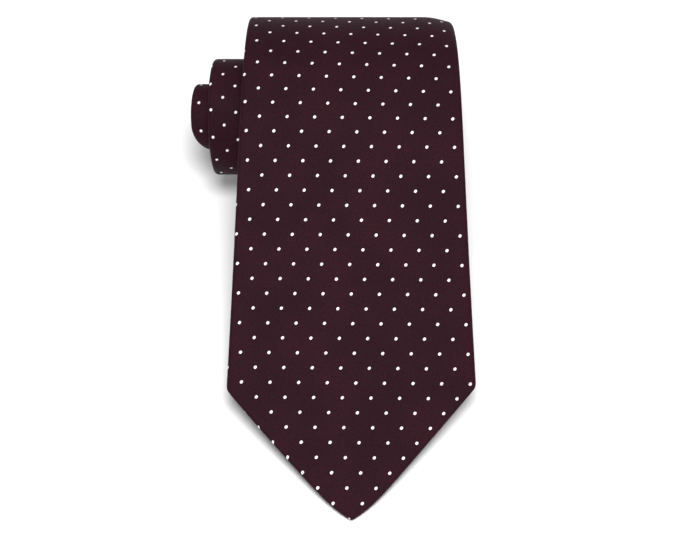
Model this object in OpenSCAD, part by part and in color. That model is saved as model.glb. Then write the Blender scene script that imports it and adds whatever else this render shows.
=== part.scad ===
// A necktie rolled up from its narrow end, with its wide blade left free.
// X runs along the axis of the roll, the blade reaches towards -Y and +Z is up.
// The roll and the tip of the blade rest on z = 0. Below, "distance" is measured
// along the tie from the tip of the blade, and "depth" from the face inwards.

/* [Blade] */
// Width of the blade where it is widest
blade_w = 88; // [75:1:105]
// Length of the pointed end of the blade
blade_point = 49; // [40:1:60]
// How far the rounded tip falls short of a sharp point
tip_cut = 4.1; // [3:0.1:5]
// Distance at which the blade has narrowed to the neck
neck_start = 800; // [680:10:860]
// Width of the neck
neck_w = 38; // [32:1:46]
// Distance at which the folded edges meet on the back of the blade
blade_vee = 105; // [85:1:125]
// Distance of the seam between the blade panel and the neck panel
blade_panel = 760; // [630:10:860]
// Distances of the lines at which the free blade bends when it is lifted
flex_lines = [70, 100, 130];

/* [Tail] */
// Length over which the tie widens from the neck to the end of the tail
tail_len = 440; // [360:10:530]
// Width of the tail where it is widest
tail_w = 50; // [42:1:60]
// Length of the pointed end of the tail
tail_point = 28; // [23:1:34]
// Length from the tail's end at which its folded edges meet
tail_vee = 62; // [52:1:75]

/* [Cloth] */
// Thickness of the silk
silk_t = 0.4; // [0.3:0.05:0.5]
// Thickness of the interlining
lining_t = 1.05; // [0.85:0.05:1.3]
// Thickness of the tipping cloth
tipping_t = 0.25; // [0.2:0.05:0.3]
// Gap between one ply and the next
ply_gap = 0.05; // [0.04:0.01:0.06]
// How far each folded edge passes the centre line
overlap = 5; // [4:0.5:6]
// Width of the folded edge along the pointed ends
hem = 12; // [9:0.5:13]

/* [Roll] */
// Radius of the innermost turn
core_r = 7.6; // [6:0.1:9.5]
// Gap between one turn and the next
turn_gap = 0.5; // [0.4:0.05:0.7]
// Half turns that lie under the blade
outer_half_turns = 8; // [6:2:10]
// Half turns in the middle group
middle_half_turns = 6; // [4:2:8]
// Half turns in the core group
core_half_turns = 5; // [4:1:7]
// How far the middle turns have slid out to the left
middle_out = 14.9; // [12:0.1:18]
// How far the core turns have slid out beyond the middle turns
core_out = 7.1; // [5:0.1:9]
// How far a slid turn leans out on the side that faces up and forward
turn_lean = 1.5; // [0:0.1:2]

/* [Lie of the blade] */
// How much flatter than the roll the blade lies over the top of it
crest_extra = 7; // [5:0.5:9]
// Radius of the shoulder, where the blade leaves the roll
shoulder_r = 110; // [90:1:132]
// Length of the steep straight stretch below the shoulder
ramp_len = 14; // [10:1:17]
// Slope of the steep stretch
ramp_slope = 31.5; // [29:0.5:34]
// Slope at which the tip comes down
tip_slope = 20; // [16:0.5:22]
// Length of the straight stretch that ends in the tip
tip_len = 35; // [28:1:42]

/* [Fittings] */
// Length of the keeper loop across the tie
keeper_len = 44; // [36:1:50]
// Width of the keeper loop
keeper_w = 10; // [8:0.5:12]
// Length of the blank label across the tie
label_len = 56; // [46:1:60]
// Width of the blank label
label_w = 22; // [18:1:24]
// Length of the blank care tag
tag_len = 18; // [15:1:22]
// Width of the blank care tag
tag_w = 12; // [10:1:15]
// Thickness of sewing thread
thread_t = 0.3; // [0.25:0.05:0.35]

/* [Hidden] */

silk = [0.22, 0.11, 0.15];
thread = [0.30, 0.13, 0.18];
wool = [0.87, 0.84, 0.76];
tipping_cloth = [0.16, 0.08, 0.11];
satin = [0.10, 0.09, 0.10];

// Depths of the plies, from the face of the tie to its back
lining_d = silk_t + ply_gap;
tipping_d = lining_d + lining_t + ply_gap;
inner_flap_d = tipping_d + tipping_t + ply_gap;
outer_flap_d = inner_flap_d + silk_t + ply_gap;
tie_t = outer_flap_d + silk_t;

// The roll is a chain of half circles whose centres alternate, each half a pitch smaller
half_pitch = (tie_t + turn_gap) / 2;
half_turns = outer_half_turns + middle_half_turns + core_half_turns;
roll_r = core_r + half_turns * half_pitch;
turn_step = 15;
roll_z = (roll_r - half_pitch) * cos(turn_step / 2);
middle_angle = outer_half_turns * 180 + turn_step / 2;
core_angle = (outer_half_turns + middle_half_turns) * 180 + turn_step / 2;
end_angle = half_turns * 180;

// Angles from the start of each group over which it slides out, and the angle at which
// the middle turns lean furthest
middle_slide = [-30, 70];
core_slide = [90, 200];
lean_angle = 226;

// The blade from the back of the roll to the tip, as arcs and straight stretches
crest_r = roll_r + crest_extra;
rear_slope = -25;
crest_slope = 17;
down_to_ramp = [
    arc(roll_r, -90, rear_slope),
    arc(crest_r, rear_slope, crest_slope),
    arc(shoulder_r, crest_slope, ramp_slope),
    [ramp_len, ramp_slope, ramp_slope]
];
ramp_z = pose_along(down_to_ramp, total_len(down_to_ramp))[1];
tip_z = tie_t * cos(tip_slope);
hollow_r = (ramp_z - tip_z - tip_len * sin(tip_slope)) / (cos(tip_slope) - cos(ramp_slope));
stretches = concat(down_to_ramp, [
    arc(hollow_r, ramp_slope, tip_slope),
    [tip_len, tip_slope, tip_slope]
]);
rear_s = total_len(stretches);
crest_s = rear_s - stretches[0][0] - stretches[1][0];
middle_s = rear_s + turns_len_at(middle_angle);
core_s = rear_s + turns_len_at(core_angle);
tie_len = rear_s + turns_len(half_turns);

// Clearances where one piece ends and the next begins
joint_gap = 0.3;
seam_w = 0.5;
edge_gap = 0.3;
lie_gap = 0.05;
blunt = 1.5;
blade_step = 10;

// Pieces on the back of the tie
keeper_s = crest_s;
keeper_rise = 0.85;
keeper_t = 0.5;
label_s = keeper_s + keeper_w / 2 + 7;
label_t = 0.2;
tag_s = label_s + label_w + 12;
tack_len = 12;
tack_t = turn_gap - 3 * lie_gap;
spare_len = 14;
spare_w = 3;

// Length and slopes of an arc of radius r between slopes a and b
function arc(r, a, b) = [r * abs(b - a) * PI / 180, a, b];

// How far a stretch of this length takes the face in Y and Z, from slope a to slope b
function travel(length, a, b) = a == b
    ? length * [-cos(a), -sin(a)]
    : length * 180 / (PI * (b - a)) * [sin(a) - sin(b), cos(b) - cos(a)];

function total_len(list, i = 0) = i == len(list) ? 0 : list[i][0] + total_len(list, i + 1);

// [y, z, slope] of the face at distance q from the back of the roll towards the tip
function pose_along(list, q, i = 0, at = [roll_r, roll_z]) =
    let (length = list[i][0], a = list[i][1], b = list[i][2])
    q <= length || i == len(list) - 1
        ? let (slope = a + (b - a) * q / length)
            [each (at + travel(q, a, slope)), slope]
        : pose_along(list, q - length, i + 1, at + travel(length, a, b));

// Radius of the face of half turn n, and length of tie in the first n half turns
function turn_r(n) = roll_r - (n + 1) * half_pitch;
function turns_len(n) = PI * (n * (roll_r - tie_t / 2) - half_pitch * n * (n + 1) / 2);
function turns_len_at(angle) =
    let (n = min(floor(angle / 180), half_turns))
    turns_len(n) + (turn_r(n) - tie_t / 2) * (angle - 180 * n) * PI / 180;
function turn_of(length, n = 0) =
    n == half_turns - 1 || turns_len(n + 1) > length ? n : turn_of(length, n + 1);
function angle_of(length) =
    let (n = turn_of(length))
    180 * n + (length - turns_len(n)) / (turn_r(n) - tie_t / 2) * 180 / PI;

function reversed(list) = [for (i = [len(list) - 1:-1:0]) list[i]];
function clamped(x) = min(1, max(0, x));
function eased(x) = let (c = clamped(x)) c * c * (3 - 2 * c);
function slid(angle, half_turn, over) =
    eased((angle - half_turn * 180 - over[0]) / (over[1] - over[0]));

// How far the turns at this angle have slid out
function slide_out(angle) =
    let (middle = slid(angle, outer_half_turns, middle_slide))
    let (core = slid(angle, outer_half_turns + middle_half_turns, core_slide))
    middle * (middle_out + turn_lean * cos(angle - lean_angle)) + core * core_out;

// Half the width of the tie at distance s
function half_width(s) = max(blunt, lookup(s, [
    [0, 0],
    [2 * tip_cut, blade_w / 2 * 3 * tip_cut / (blade_point + tip_cut)],
    [blade_point, blade_w / 2],
    [neck_start, neck_w / 2],
    [tie_len - tail_len, neck_w / 2],
    [tie_len - tail_point, tail_w / 2],
    [tie_len, 0]
]));

// Where the free edge of the outer flap lies; below zero the two flaps overlap
function flap_from_end(s, width, point, vee) = lookup(s, [
    [point * hem / (width / 2), lie_gap],
    [point, width / 2 - hem],
    [vee, 0],
    [vee + blade_step, -overlap]
]);
function flap_edge(s) = s < tie_len / 2
    ? flap_from_end(s, blade_w, blade_point, blade_vee)
    : flap_from_end(tie_len - s, tail_w, tail_point, tail_vee);

// Point at distance s, u to the right of the centre line and at a depth d, before centring
function raw_place(s, u, d) = s < rear_s
    ? let (at = pose_along(stretches, rear_s - s))
        [u, at[0] + d * sin(at[2]), at[1] - d * cos(at[2])]
    : let (
        angle = angle_of(s - rear_s),
        n = min(floor(angle / 180), half_turns - 1),
        r = turn_r(n) - d,
        flush = half_width(s) - half_width(rear_s)
    )
        [
            u + flush - slide_out(angle),
            (n % 2 == 0 ? half_pitch : 0) + r * cos(angle),
            roll_z - r * sin(angle)
        ];

// Distances at which a swept piece gets a section, the same for every turn
turn_stations = [
    for (a = [turn_step / 2:turn_step:end_angle]) rear_s + turns_len_at(a)
];
rear_stations = [
    for (a = [180 - turn_step / 2:-turn_step:0])
        if (a < 90 + rear_slope) rear_s - roll_r * a * PI / 180
];
blade_stations = [for (s = [0:blade_step:rear_s - stretches[0][0]]) s];
stations = concat(blade_stations, rear_stations, turn_stations);

// The middle of the whole object seen from above
left_x = min([for (s = turn_stations) if (s > core_s) raw_place(s, -half_width(s), 0)[0]]);
right_x = blade_w / 2;
rear_y = max([for (s = turn_stations) if (s > rear_s) raw_place(s, 0, 0)[1]]);
tip_y = raw_place(0, 0, 0)[1];
centre = [(left_x + right_x) / 2, (rear_y + tip_y) / 2, 0];

function place(s, u, d) = raw_place(s, u, d) - centre;

// Last station at or before distance s
function station_before(s, low = 0, high = len(stations) - 1) =
    high - low <= 1
        ? low
        : let (mid = floor((low + high) / 2))
            stations[mid] <= s ? station_before(s, mid, high) : station_before(s, low, mid);

// The same as place, but on the straight line from one station to the next
function lay(s, u, d) =
    let (i = station_before(s), t = (s - stations[i]) / (stations[i + 1] - stations[i]))
    place(stations[i], u, d) * (1 - t) + place(stations[i + 1], u, d) * t;

function sections(from, to) = concat(
    [from],
    [for (s = stations) if (s > from + joint_gap && s < to - joint_gap) s],
    [to]
);

// Solid through a list of rings. A ring has an even number of points, and its first and
// last, second and last but one, and so on, face each other across the piece.
module sweep(rings) {
    count = len(rings[0]);
    last = len(rings) - 1;
    sides = [
        for (i = [0:last - 1], j = [0:count - 1])
            let (a = i * count + j, b = i * count + (j + 1) % count)
                each [[a, b, b + count], [a, b + count, a + count]]
    ];
    caps = [
        for (j = [0:count / 2 - 2])
            let (cap = [j, j + 1, count - 2 - j, count - 1 - j])
                each [reversed(cap), cap + last * count * [1, 1, 1, 1]]
    ];
    polyhedron([for (ring = rings) each ring], concat(sides, caps));
}

// Silk folded round the tie: face, both edges, and the two flaps on the back
function shell_ring(s) =
    let (w = half_width(s), v = flap_edge(s), t = silk_t, inner = inner_flap_d, outer = outer_flap_d)
    [
        lay(s, v, outer + t),
        lay(s, w, outer + t),
        lay(s, w, 0),
        lay(s, -w, 0),
        lay(s, -w, inner + t),
        lay(s, -v, inner + t),
        lay(s, -v, inner),
        lay(s, t - w, inner),
        lay(s, t - w, t),
        lay(s, w - t, t),
        lay(s, w - t, outer),
        lay(s, v, outer)
    ];

module shell(from, to) {
    color(silk) sweep([for (s = sections(from, to)) shell_ring(s)]);
}

// Flat ply between two depths, kept clear of the folded edges
function ply_ring(s, w, top, bottom) = [
    lay(s, w, bottom), lay(s, w, top), lay(s, -w, top), lay(s, -w, bottom)
];

module ply(from, to, top, thickness) {
    sweep([
        for (s = sections(from, to))
            ply_ring(s, half_width(s) - silk_t - edge_gap, top, top + thickness)
    ]);
}

module interlining(from, to) {
    color(wool) ply(from, to, lining_d, lining_t);
}

module tipping(from, to) {
    color(tipping_cloth) ply(from, to, tipping_d, tipping_t);
}

// Thread of square section along a path of [distance, u], lying at depth d
function thread_ring(path, i, t, d) =
    let (
        run = path[min(i + 1, len(path) - 1)] - path[max(i - 1, 0)],
        side = [-run[1], run[0]] * t / (2 * norm(run)),
        a = path[i] + side,
        b = path[i] - side
    )
    [lay(a[0], a[1], d + t), lay(a[0], a[1], d), lay(b[0], b[1], d), lay(b[0], b[1], d + t)];

module sewn(path, t, d) {
    sweep([for (i = [0:len(path) - 1]) thread_ring(path, i, t, d)]);
}

// Slip stitch that closes the back, laid in the step beside the outer flap's edge
module slip_stitch(from, to) {
    path = [for (s = sections(from, to)) [s, flap_edge(s) - thread_t]];
    color(thread) sewn(path, thread_t, outer_flap_d);
}

// Short bar of thread across the meeting point of the folded edges
module bar_tack(s) {
    path = [[s, -tack_len / 2], [s, tack_len / 2]];
    color(thread) sewn(path, tack_t, tie_t + lie_gap);
}

// Seam that closes the gap between two panels of silk
module panel_seam(s) {
    from = s - seam_w / 2 + lie_gap;
    to = s + seam_w / 2 - lie_gap;
    color(thread) sweep([for (at = [from, to]) shell_ring(at)]);
}

// Flat piece on the back of the tie
module patch(from, length, width, thickness) {
    sweep([
        for (s = sections(from, from + width))
            ply_ring(s, length / 2, tie_t + lie_gap, tie_t + lie_gap + thickness)
    ]);
}

// Blade, from its tip to the roll
module blade_tip_shell() {
    shell(0, flex_lines[0] - joint_gap / 2);
}

module blade_middle_shell() {
    shell(flex_lines[0] + joint_gap / 2, flex_lines[1] - joint_gap / 2);
}

module blade_upper_shell() {
    shell(flex_lines[1] + joint_gap / 2, flex_lines[2] - joint_gap / 2);
}

module blade_rolled_shell() {
    shell(flex_lines[2] + joint_gap / 2, blade_panel - seam_w / 2);
}

module neck_shell() {
    shell(blade_panel + seam_w / 2, middle_s - joint_gap / 2);
}

module tail_shell() {
    shell(middle_s + joint_gap / 2 + seam_w, core_s - joint_gap / 2);
}

module tail_end_shell() {
    shell(core_s + joint_gap / 2, tie_len);
}

// Interlining, which starts just inside the tip and ends just inside the tail
module blade_tip_interlining() {
    interlining(hem / 2, flex_lines[0] - joint_gap / 2);
}

module blade_middle_interlining() {
    interlining(flex_lines[0] + joint_gap / 2, flex_lines[1] - joint_gap / 2);
}

module blade_upper_interlining() {
    interlining(flex_lines[1] + joint_gap / 2, flex_lines[2] - joint_gap / 2);
}

module blade_rolled_interlining() {
    interlining(flex_lines[2] + joint_gap / 2, middle_s - joint_gap / 2);
}

module tail_interlining() {
    interlining(middle_s + joint_gap / 2, core_s - joint_gap / 2);
}

module tail_end_interlining() {
    interlining(core_s + joint_gap / 2, tie_len - hem / 2);
}

// Tipping, which backs the opening between the folded edges
module blade_tip_tipping() {
    tipping(hem / 3, flex_lines[0] - joint_gap / 2);
}

module blade_middle_tipping() {
    tipping(flex_lines[0] + joint_gap / 2, flex_lines[1] - joint_gap / 2);
}

module blade_upper_tipping() {
    tipping(flex_lines[1] + joint_gap / 2, blade_vee + hem);
}

module tail_end_tipping() {
    tipping(tie_len - tail_vee - hem, tie_len - hem / 3);
}

// Sewing that closes the back
module blade_bar_tack() {
    bar_tack(blade_vee + tack_t);
}

module tail_bar_tack() {
    bar_tack(tie_len - tail_vee - tack_t);
}

module blade_upper_slip_stitch() {
    slip_stitch(blade_vee + blade_step, flex_lines[2] - joint_gap / 2);
}

module blade_rolled_slip_stitch() {
    slip_stitch(flex_lines[2] + joint_gap / 2, middle_s - joint_gap / 2);
}

module tail_slip_stitch() {
    slip_stitch(middle_s + joint_gap / 2, core_s - joint_gap / 2);
}

module tail_end_slip_stitch() {
    slip_stitch(core_s + joint_gap / 2, tie_len - tail_vee - blade_step);
}

module blade_neck_seam() {
    panel_seam(blade_panel);
}

module neck_tail_seam() {
    panel_seam(middle_s + joint_gap / 2 + seam_w / 2);
}

// Loop across the back that holds the tail when the tie is worn
module keeper_loop() {
    half = keeper_len / 2;
    foot = 4;
    rise = 4;
    base = tie_t + lie_gap;
    under = [
        [half, base], [half - foot, base], [half - foot - rise, base + keeper_rise],
        [foot + rise - half, base + keeper_rise], [foot - half, base], [-half, base]
    ];
    outline = concat(under, [for (p = reversed(under)) p + [0, keeper_t]]);
    color(silk) sweep([
        for (s = sections(keeper_s - keeper_w / 2, keeper_s + keeper_w / 2))
            [for (p = outline) lay(s, p[0], p[1])]
    ]);
}

module keeper_stitches() {
    for (u = [-1, 1] * (keeper_len / 2 - 2)) {
        path = [[keeper_s - keeper_w / 2 + 1, u], [keeper_s + keeper_w / 2 - 1, u]];
        color(thread) sewn(path, thread_t, tie_t + 2 * lie_gap + keeper_t);
    }
}

module label() {
    color(satin) patch(label_s, label_len, label_w, label_t);
}

module label_stitches() {
    for (u = [-1, 1] * (label_len / 2 + thread_t)) {
        path = [for (s = sections(label_s, label_s + label_w)) [s, u]];
        color(thread) sewn(path, thread_t, tie_t + lie_gap);
    }
}

module care_tag() {
    color(satin) patch(tag_s, tag_w, tag_len, label_t);
}

// End of the slip stitch thread, left as a loop so that the tie can stretch
module spare_thread_loop() {
    near = tie_len - tail_vee + tack_t;
    path = [
        [near, -spare_w / 2],
        each [for (s = sections(near, near + spare_len)) if (s > near) [s, -spare_w / 2]],
        [near + spare_len + spare_w / 2, 0],
        each [for (s = reversed(sections(near, near + spare_len))) if (s > near) [s, spare_w / 2]],
        [near, spare_w / 2]
    ];
    color(thread) sewn(path, thread_t, tie_t + lie_gap);
}

blade_tip_shell();
blade_middle_shell();
blade_upper_shell();
blade_rolled_shell();
neck_shell();
tail_shell();
tail_end_shell();
blade_tip_interlining();
blade_middle_interlining();
blade_upper_interlining();
blade_rolled_interlining();
tail_interlining();
tail_end_interlining();
blade_tip_tipping();
blade_middle_tipping();
blade_upper_tipping();
tail_end_tipping();
blade_bar_tack();
tail_bar_tack();
blade_upper_slip_stitch();
blade_rolled_slip_stitch();
tail_slip_stitch();
tail_end_slip_stitch();
blade_neck_seam();
neck_tail_seam();
keeper_loop();
keeper_stitches();
label();
label_stitches();
care_tag();
spare_thread_loop();
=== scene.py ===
"""Looks for the rolled necktie. Sizes are in millimetres until a mesh is made, then metres."""

import math

import bpy
import numpy as np
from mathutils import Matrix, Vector


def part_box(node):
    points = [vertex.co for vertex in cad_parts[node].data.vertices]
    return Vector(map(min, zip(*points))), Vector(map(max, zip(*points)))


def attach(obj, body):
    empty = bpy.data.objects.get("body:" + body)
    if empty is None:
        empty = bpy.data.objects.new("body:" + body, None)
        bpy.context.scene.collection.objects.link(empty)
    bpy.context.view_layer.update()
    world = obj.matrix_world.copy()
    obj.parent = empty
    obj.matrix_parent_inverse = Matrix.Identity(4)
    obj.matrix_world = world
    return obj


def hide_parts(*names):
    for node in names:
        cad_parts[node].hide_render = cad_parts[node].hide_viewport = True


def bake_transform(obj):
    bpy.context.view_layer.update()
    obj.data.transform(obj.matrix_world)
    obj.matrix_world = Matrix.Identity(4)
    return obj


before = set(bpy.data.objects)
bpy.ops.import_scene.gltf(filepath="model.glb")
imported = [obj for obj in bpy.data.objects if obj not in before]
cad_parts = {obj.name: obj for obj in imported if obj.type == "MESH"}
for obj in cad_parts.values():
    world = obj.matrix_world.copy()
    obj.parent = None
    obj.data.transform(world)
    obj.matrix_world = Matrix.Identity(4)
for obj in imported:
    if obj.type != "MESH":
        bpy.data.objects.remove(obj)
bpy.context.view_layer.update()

# ---------------------------------------------------------------- sizes of the tie
# The same values as in the source of the solids. Distances are measured from the tip of the blade,
# depths from the face inwards.
BLADE_W, BLADE_POINT, TIP_CUT, NECK_START, NECK_W = 88.0, 49.0, 4.1, 800.0, 38.0
BLADE_VEE, BLADE_PANEL = 105.0, 760.0
FLEX = (70.0, 100.0, 130.0)
TAIL_LEN, TAIL_W, TAIL_POINT, TAIL_VEE = 440.0, 50.0, 28.0, 62.0
SILK_T, LINING_T, TIPPING_T, PLY_GAP = 0.4, 1.05, 0.25, 0.05
OVERLAP, HEM = 5.0, 12.0
CORE_R, TURN_GAP = 7.6, 0.5
OUTER_HALVES, MIDDLE_HALVES, CORE_HALVES = 8, 6, 5
MIDDLE_OUT, CORE_OUT, TURN_LEAN = 14.9, 7.1, 1.5
CREST_EXTRA, SHOULDER_R, RAMP_LEN, RAMP_SLOPE = 7.0, 110.0, 14.0, 31.5
TIP_SLOPE, TIP_LEN = 20.0, 35.0
KEEPER_LEN, KEEPER_W, KEEPER_RISE, KEEPER_T = 44.0, 10.0, 0.85, 0.5
LABEL_LEN, LABEL_W, LABEL_T = 56.0, 22.0, 0.2
TAG_LEN, TAG_W = 18.0, 12.0
THREAD_T, TACK_T, TACK_LEN = 0.3, 0.35, 12.0
SPARE_LEN, SPARE_W = 14.0, 3.0
LIE_GAP = 0.05

# Depths at which the plies start
LINING_D = SILK_T + PLY_GAP
TIPPING_D = LINING_D + LINING_T + PLY_GAP
INNER_FLAP_D = TIPPING_D + TIPPING_T + PLY_GAP
OUTER_FLAP_D = INNER_FLAP_D + SILK_T + PLY_GAP
TIE_T = OUTER_FLAP_D + SILK_T

# The solids turn by this many degrees from one facet of the roll to the next
FACET = 7.5
HALF_PITCH = (TIE_T + TURN_GAP) / 2
HALF_TURNS = OUTER_HALVES + MIDDLE_HALVES + CORE_HALVES
ROLL_R = CORE_R + HALF_TURNS * HALF_PITCH
ROLL_Z = (ROLL_R - HALF_PITCH) * math.cos(math.radians(FACET))
# Angles over which a group of turns moves out, counted from its first half turn
MIDDLE_SLIDE, CORE_SLIDE, LEAN_ANGLE = (-30.0, 70.0), (90.0, 200.0), 226.0
REAR_SLOPE, CREST_SLOPE = -25.0, 17.0


def arc(r, a, b):
    """A round stretch of the free blade: its length, and its slope where it starts and ends."""
    return (r * math.radians(abs(b - a)), a, b)


def travel(length, a, b):
    """How far a stretch takes the face in Y and Z, from slope a to slope b, in degrees."""
    a, b = np.radians(a), np.radians(b)
    turn = np.where(np.abs(b - a) < 1e-9, 1.0, b - a)
    y = np.where(np.abs(b - a) < 1e-9, -np.cos(a) * length, length / turn * (np.sin(a) - np.sin(b)))
    z = np.where(np.abs(b - a) < 1e-9, -np.sin(a) * length, length / turn * (np.cos(b) - np.cos(a)))
    return y, z


def start_points(stretches):
    """Where each stretch begins: length so far, y and z."""
    q, y, z, found = 0.0, ROLL_R, ROLL_Z, []
    for length, a, b in stretches:
        found.append((q, y, z))
        dy, dz = travel(length, a, b)
        q, y, z = q + length, y + float(dy), z + float(dz)
    return found, (q, y, z)


STRETCHES = [
    arc(ROLL_R, -90, REAR_SLOPE),
    arc(ROLL_R + CREST_EXTRA, REAR_SLOPE, CREST_SLOPE),
    arc(SHOULDER_R, CREST_SLOPE, RAMP_SLOPE),
    (RAMP_LEN, RAMP_SLOPE, RAMP_SLOPE),
]
RAMP_Z = start_points(STRETCHES)[1][2]
TIP_Z = TIE_T * math.cos(math.radians(TIP_SLOPE))
HOLLOW_R = (RAMP_Z - TIP_Z - TIP_LEN * math.sin(math.radians(TIP_SLOPE))) / (
    math.cos(math.radians(TIP_SLOPE)) - math.cos(math.radians(RAMP_SLOPE))
)
STRETCHES += [arc(HOLLOW_R, RAMP_SLOPE, TIP_SLOPE), (TIP_LEN, TIP_SLOPE, TIP_SLOPE)]
STARTS, (REAR_S, RAW_TIP_Y, _) = start_points(STRETCHES)
CREST_S = REAR_S - STRETCHES[0][0] - STRETCHES[1][0]

TURN_R = np.array([ROLL_R - (n + 1) * HALF_PITCH for n in range(HALF_TURNS)])
TURN_S = np.concatenate([[0.0], np.cumsum(math.pi * (TURN_R - TIE_T / 2))])
TIE_LEN = REAR_S + TURN_S[-1]


def s_at(angle):
    """Distance from the tip at an angle round the roll, in degrees from its back."""
    n = int(min(angle // 180, HALF_TURNS - 1))
    return REAR_S + TURN_S[n] + (TURN_R[n] - TIE_T / 2) * math.radians(angle - 180 * n)


MIDDLE_S = s_at(OUTER_HALVES * 180 + FACET)
# Stretches that join one group of turns to the next
BRIDGE_1 = (s_at(OUTER_HALVES * 180), s_at((OUTER_HALVES + 1) * 180))
BRIDGE_2 = (
    s_at((OUTER_HALVES + MIDDLE_HALVES) * 180),
    s_at((OUTER_HALVES + MIDDLE_HALVES + 1) * 180),
)
# The label and the care tag lie past the keeper, on the back
LABEL_GAP, TAG_GAP = 7.0, 12.0
LABEL_S = CREST_S + KEEPER_W / 2 + LABEL_GAP
TAG_S = LABEL_S + LABEL_W + TAG_GAP


def eased(x):
    c = np.clip(x, 0, 1)
    return c * c * (3 - 2 * c)


def slide_out(angle):
    """How far a turn has moved out to the left, at an angle round the roll."""

    def slid(half_turn, over):
        return eased((angle - half_turn * 180 - over[0]) / (over[1] - over[0]))

    middle = slid(OUTER_HALVES, MIDDLE_SLIDE)
    core = slid(OUTER_HALVES + MIDDLE_HALVES, CORE_SLIDE)
    lean = np.cos(np.radians(angle - LEAN_ANGLE))
    return middle * (MIDDLE_OUT + TURN_LEAN * lean) + core * CORE_OUT


# A pointed end: reach and half width of its blunt tip, half width that its folds add, distance over
# which the cut fades in, softness of its corners, and a half width no tie reaches
BLUNT_REACH, BLUNT_W, FOLD_W, CUT_FADE, CORNER_SOFT, FAR_W = 0.35, 0.25, 0.35, 4.0, 0.45, 90.0


def half_width(s):
    """Half the width of the tie, with its corners and both ends a little rounded."""
    s = np.asarray(s, float)

    def pointed(q, point, cut, full, beyond):
        blunt = np.exp(-q / BLUNT_REACH)
        rise = full * (q + cut * (1 - np.exp(-q / CUT_FADE))) / (point + cut)
        rise = rise + BLUNT_W * blunt + FOLD_W * (1 - blunt)
        k = CORNER_SOFT
        return -k * np.log(np.exp(-np.minimum(rise, FAR_W) / k) + np.exp(-beyond / k))

    blade_side = BLADE_W / 2 - (s - BLADE_POINT) * (BLADE_W - NECK_W) / 2 / (NECK_START - BLADE_POINT)
    blade = pointed(s, BLADE_POINT, TIP_CUT, BLADE_W / 2, blade_side)
    q = TIE_LEN - s
    tail_side = TAIL_W / 2 - (q - TAIL_POINT) * (TAIL_W - NECK_W) / 2 / (TAIL_LEN - TAIL_POINT)
    tail = pointed(q, TAIL_POINT, 0.0, TAIL_W / 2, tail_side)
    neck = np.where(s > NECK_START, NECK_W / 2, 0)
    return np.where(s < NECK_START, blade, np.where(q < TAIL_LEN, tail, neck))


FLUSH_W = float(half_width(REAR_S))
LEFT_FULL, LEFT_RISE = 1.2, 40.0


def left_width(s):
    """Half width on the left, where the blade's point is cut a little fuller."""
    return half_width(s + LEFT_FULL * eased(s / LEFT_RISE) * (s < BLADE_VEE))


# Where the outer turn begins to sink, over what length, how deep, and where across; and the angle
# round the roll at which it rises again, over what length
SAG_FROM, SAG_RISE, SAG_DEPTH, SAG_X, SAG_REACH = 160.0, 45.0, 2.6, 28.0, 15.0
SAG_TO, SAG_FALL = 150.0, 90.0


def sag(s, x):
    """Past the inner turns, which are narrower, the right end of the outer turn sinks a little."""
    along = eased((s - SAG_FROM) / SAG_RISE) * (1 - eased((s - s_at(SAG_TO)) / SAG_FALL))
    return SAG_DEPTH * along * eased((x - SAG_X) / SAG_REACH)


def raw_place(s, u, d):
    """Points at distance s from the tip, u to the right of the centre line, at a depth d."""
    s, u, d = np.broadcast_arrays(np.asarray(s, float), np.asarray(u, float), np.asarray(d, float))
    out = np.zeros(s.shape + (3,))
    free = s < REAR_S
    q = REAR_S - s
    for (length, a, b), (q0, y0, z0) in zip(STRETCHES, STARTS):
        last = q0 == STARTS[-1][0]
        m = free & (q >= q0) & ((q < q0 + length) | last)
        run = q[m] - q0
        slope = a + (b - a) * run / length
        dy, dz = travel(run, a, slope)
        dd = d[m] + sag(s[m], u[m])
        out[m] = np.stack(
            [u[m], y0 + dy + dd * np.sin(np.radians(slope)), z0 + dz - dd * np.cos(np.radians(slope))], -1
        )
    m = ~free
    length = s[m] - REAR_S
    n = np.clip(np.searchsorted(TURN_S, length, side="right") - 1, 0, HALF_TURNS - 1)
    local = (length - TURN_S[n]) / (TURN_R[n] - TIE_T / 2)
    angle = 180 * n + np.degrees(local)
    x = u[m] + half_width(s[m]) - FLUSH_W
    r = TURN_R[n] - d[m] - sag(s[m], x)
    y = np.where(n % 2 == 0, HALF_PITCH, 0) + r * np.cos(np.radians(angle))
    z = ROLL_Z - r * np.sin(np.radians(angle))
    out[m] = np.stack([x - slide_out(angle), y, z], -1)
    return out


tip_lo, tip_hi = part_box("blade_tip_shell")
CENTRE = np.array([BLADE_W / 2 - tip_hi.x * 1000, RAW_TIP_Y - tip_lo.y * 1000, 0.0])


def place(s, u, d):
    """The same, in the shared frame and in metres, flattened where the roll rests."""
    points = raw_place(s, u, d) - CENTRE
    points[..., 2] = np.maximum(points[..., 2], 0)
    return points / 1000


# ---------------------------------------------------------------- pattern of the silk
# Steps between the columns and the rows of woven dots, and the place of one dot
DOT_STEP_X, DOT_STEP_S = 10.07 / 2, 5.535
DOT_X, DOT_S = -0.10, 82.9
# Columns drift sideways with distance, and rows drop to the right, more so up the blade
COLUMN_DRIFT, COLUMN_FROM = 0.049, 84.15
ROW_DROP, ROW_DROP_MORE, SKEW_FROM, SKEW_REACH = 0.010, 0.039, 140.0, 60.0
# The tail's cloth is drawn up a little tighter. Each group starts inside the group before it,
# where no dot shows: distance from the tip, and the place of one dot
TAIL_STEP_X, TAIL_STEP_S, TAIL_DRIFT, TAIL_DROP = 4.64, 4.93, 0.072, 0.10
TAIL_PHASES = (
    ((REAR_S + s_at(OUTER_HALVES * 180)) / 2, -14.71, 1086.0),
    ((s_at(10 * 180) + s_at(14 * 180)) / 2, -21.0, 1380.9),
)


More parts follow.
